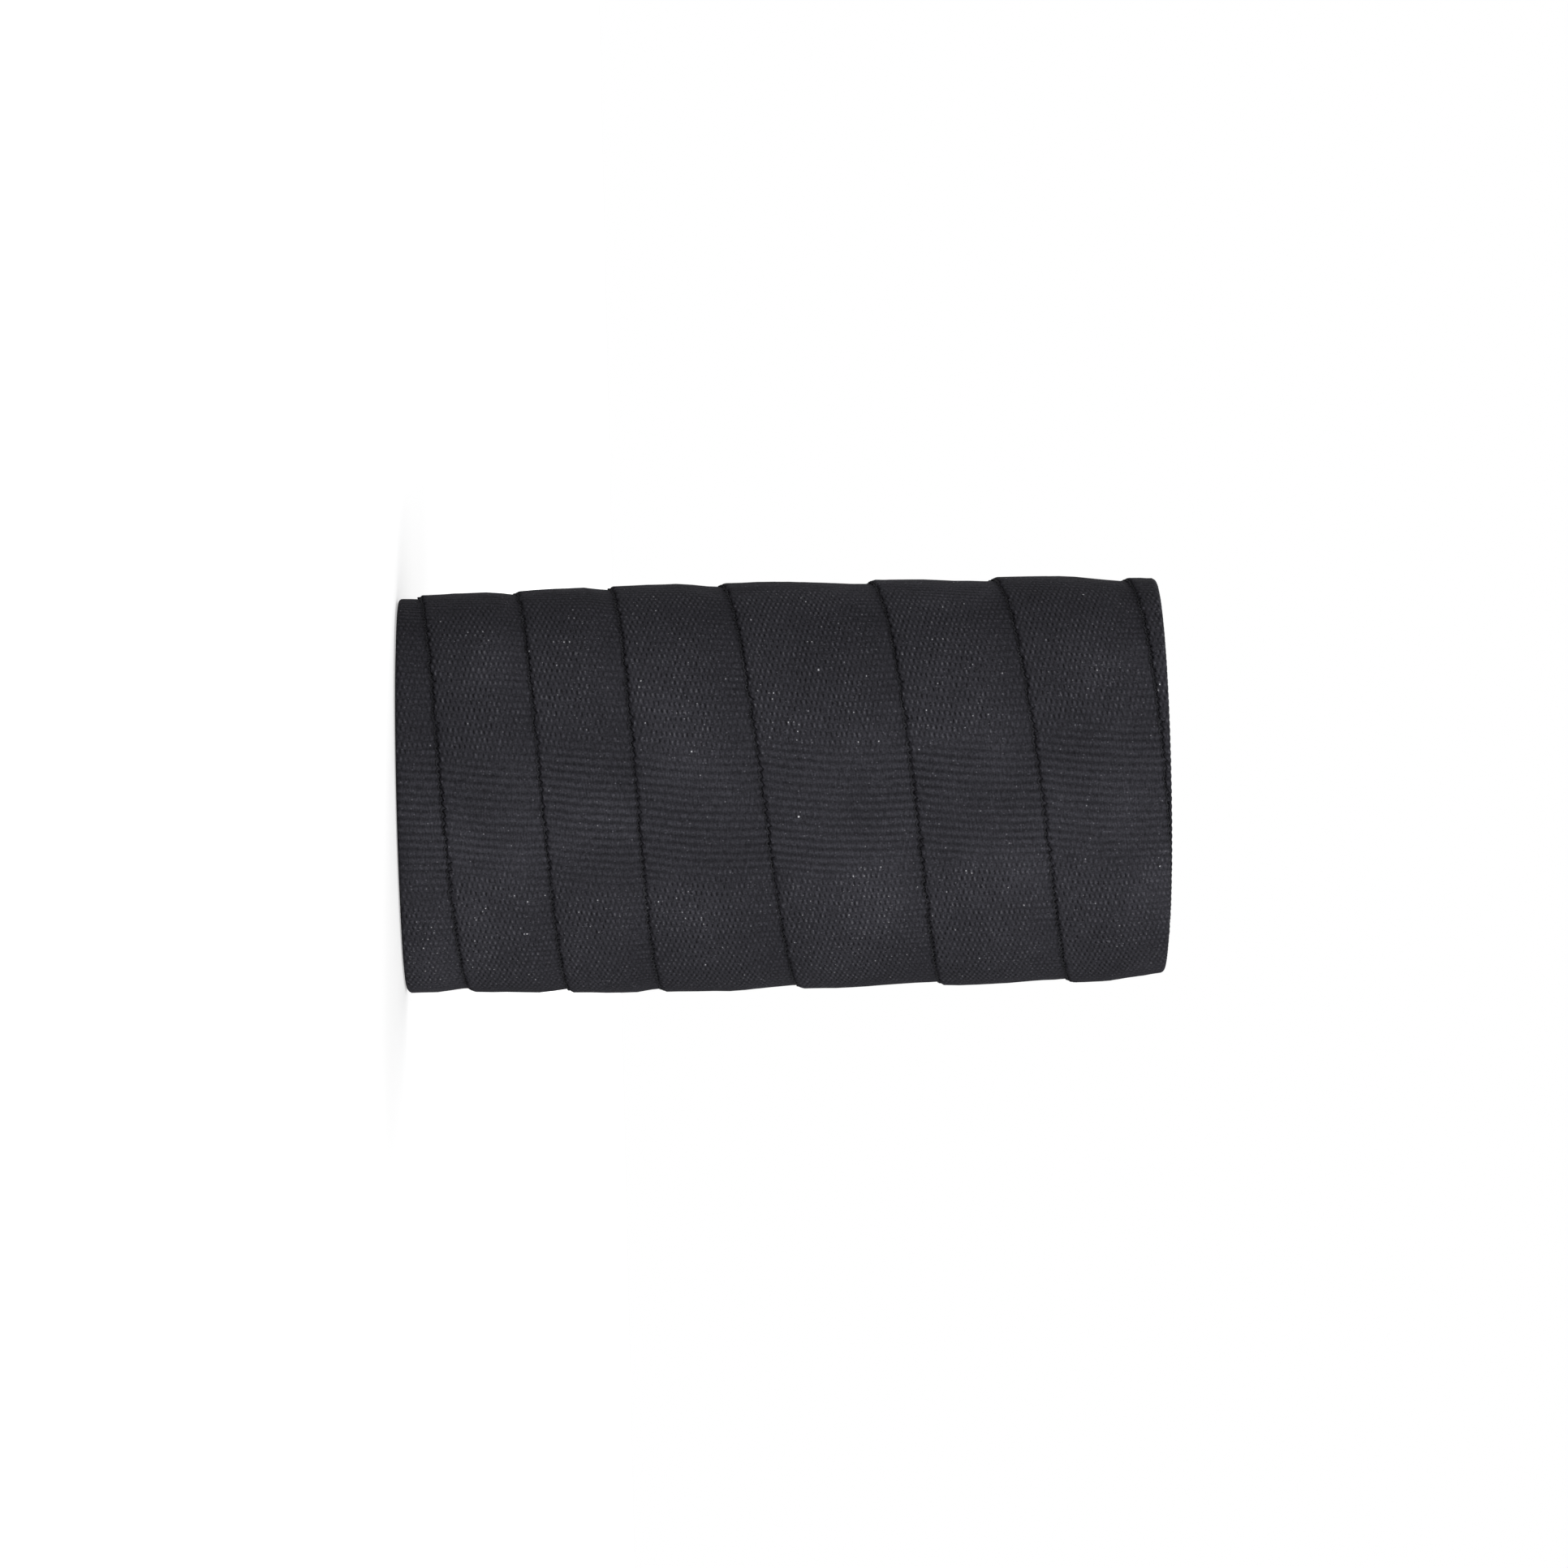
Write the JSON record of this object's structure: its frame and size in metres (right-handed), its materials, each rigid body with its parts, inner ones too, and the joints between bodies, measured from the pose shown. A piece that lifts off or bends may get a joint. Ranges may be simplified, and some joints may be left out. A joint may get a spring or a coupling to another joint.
{
  "type": "golf grip",
  "caption": "Short round golf grip section: a rubber sleeve that is pressed on a club shaft, wrapped in a black woven tape wound in lapped turns.",
  "frame": {"origin": "on the bore's axis, in the plane of the lower end face that the part stands on", "axes": "+Z along the bore from the lower to the upper end; +X and +Y are free, and the tape rises as it turns from +X towards +Y"},
  "size_m": [0.0268, 0.0268, 0.05],
  "materials": {
    "rubber": "matt moulded black rubber",
    "adhesive": "cream double-sided adhesive film",
    "cloth": "warp-faced woven tape with crosswise ribs and looped selvedges"
  },
  "bodies": {
    "root": {"underlisting": "rubber", "adhesive_tape": "adhesive", "cloth_tape": "cloth"}
  },
  "joints": []
}
